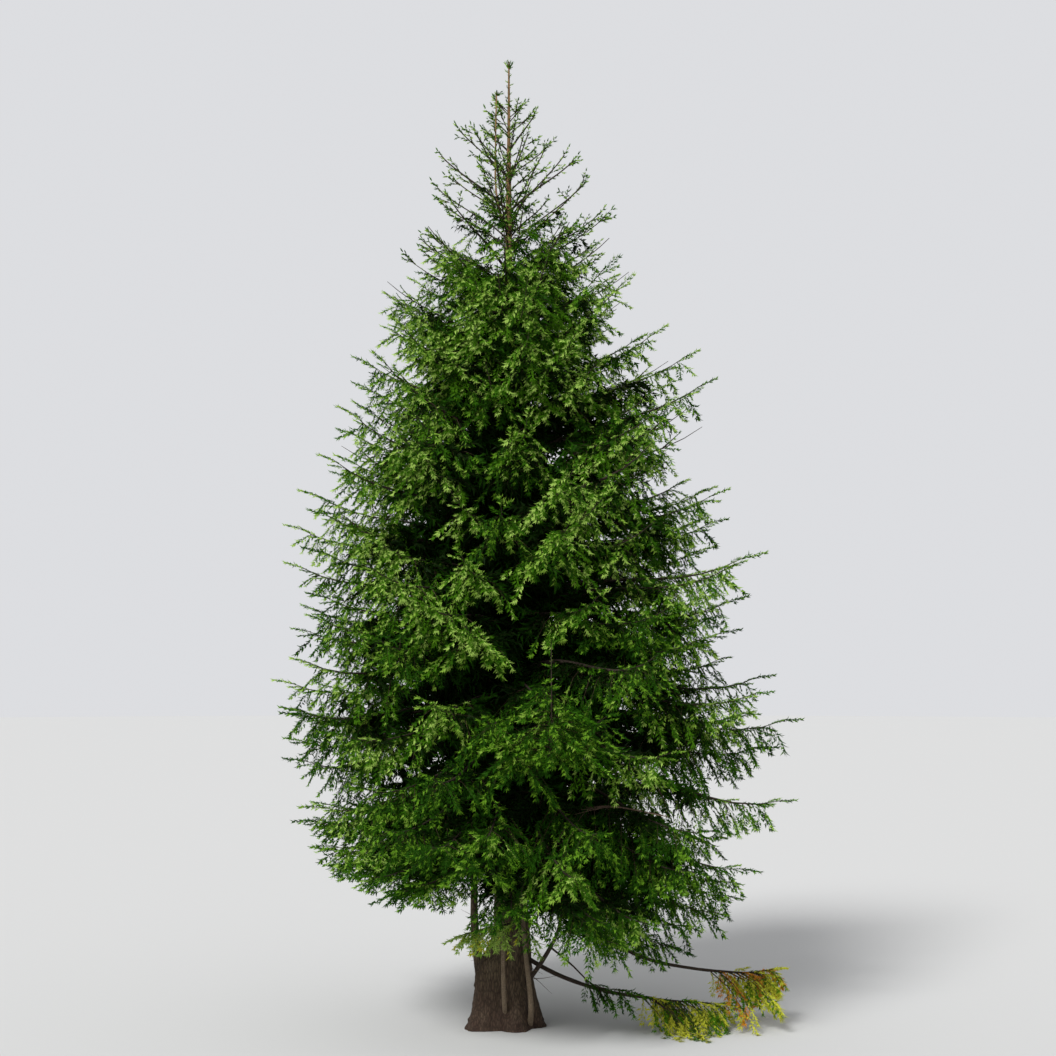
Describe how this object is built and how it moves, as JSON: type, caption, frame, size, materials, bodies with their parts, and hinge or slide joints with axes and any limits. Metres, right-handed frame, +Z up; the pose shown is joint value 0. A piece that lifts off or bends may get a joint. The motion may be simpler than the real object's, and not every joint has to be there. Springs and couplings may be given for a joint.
{
  "type": "spruce tree",
  "caption": "Open-grown spruce tree: a tapering trunk with a root flare, low limbs at its foot and a full cone of foliage in tiers.",
  "frame": {"origin": "middle of the flat cut under the trunk, at ground level", "axes": "+Z up along the trunk, -Y towards the viewer of the picture, +X to the right in the picture"},
  "size_m": [6.2632, 6.0031, 12.04],
  "materials": {
    "bark": "rough scaly bark, grey-brown to reddish brown",
    "young_bark": "smoother pale brown bark of thin stems",
    "needles": "matt dark green needles with pale new shoots",
    "pale_needles": "matt yellow-green needles, partly ailing"
  },
  "bodies": {
    "root": {"trunk": "bark", "left_stem": "bark", "front_stem_left": "young_bark", "front_stem_right": "young_bark", "right_limb": "bark", "low_bough_lower": "bark", "low_bough_upper": "bark", "front_bough": "bark", "foot_spray": "pale_needles", "right_fork_spray": "needles", "low_spray_lower": "pale_needles", "low_spray_upper": "pale_needles", "front_leader": "needles", "side_leader": "needles", "main_bough_01_1": "bark", "main_bough_01_2": "bark", "main_bough_01_3": "bark", "main_bough_01_4": "bark", "main_bough_01_5": "bark", "main_bough_02_1": "bark", "main_bough_02_2": "bark", "main_bough_02_3": "bark", "main_bough_02_4": "bark", "foliage_01_1": "needles", "foliage_01_2": "needles", "foliage_01_3": "needles", "foliage_01_4": "needles", "foliage_01_5": "needles", "foliage_02_1": "needles", "foliage_02_2": "needles", "foliage_02_3": "needles", "foliage_02_4": "needles", "foliage_03_1": "needles", "foliage_03_2": "needles", "foliage_03_3": "needles", "foliage_03_4": "needles", "foliage_04_1": "needles", "foliage_04_2": "needles", "foliage_04_3": "needles", "foliage_04_4": "needles", "foliage_05_1": "needles", "foliage_05_2": "needles", "foliage_05_3": "needles", "foliage_05_4": "needles", "foliage_06_1": "needles", "foliage_06_2": "needles", "foliage_06_3": "needles", "foliage_07_1": "needles", "foliage_07_2": "needles", "foliage_07_3": "needles", "foliage_08_1": "needles", "foliage_08_2": "needles", "foliage_08_3": "needles", "foliage_09_1": "needles", "foliage_09_2": "needles", "foliage_10_1": "needles", "foliage_10_2": "needles", "foliage_11_1": "needles", "foliage_11_2": "needles"}
  },
  "joints": []
}
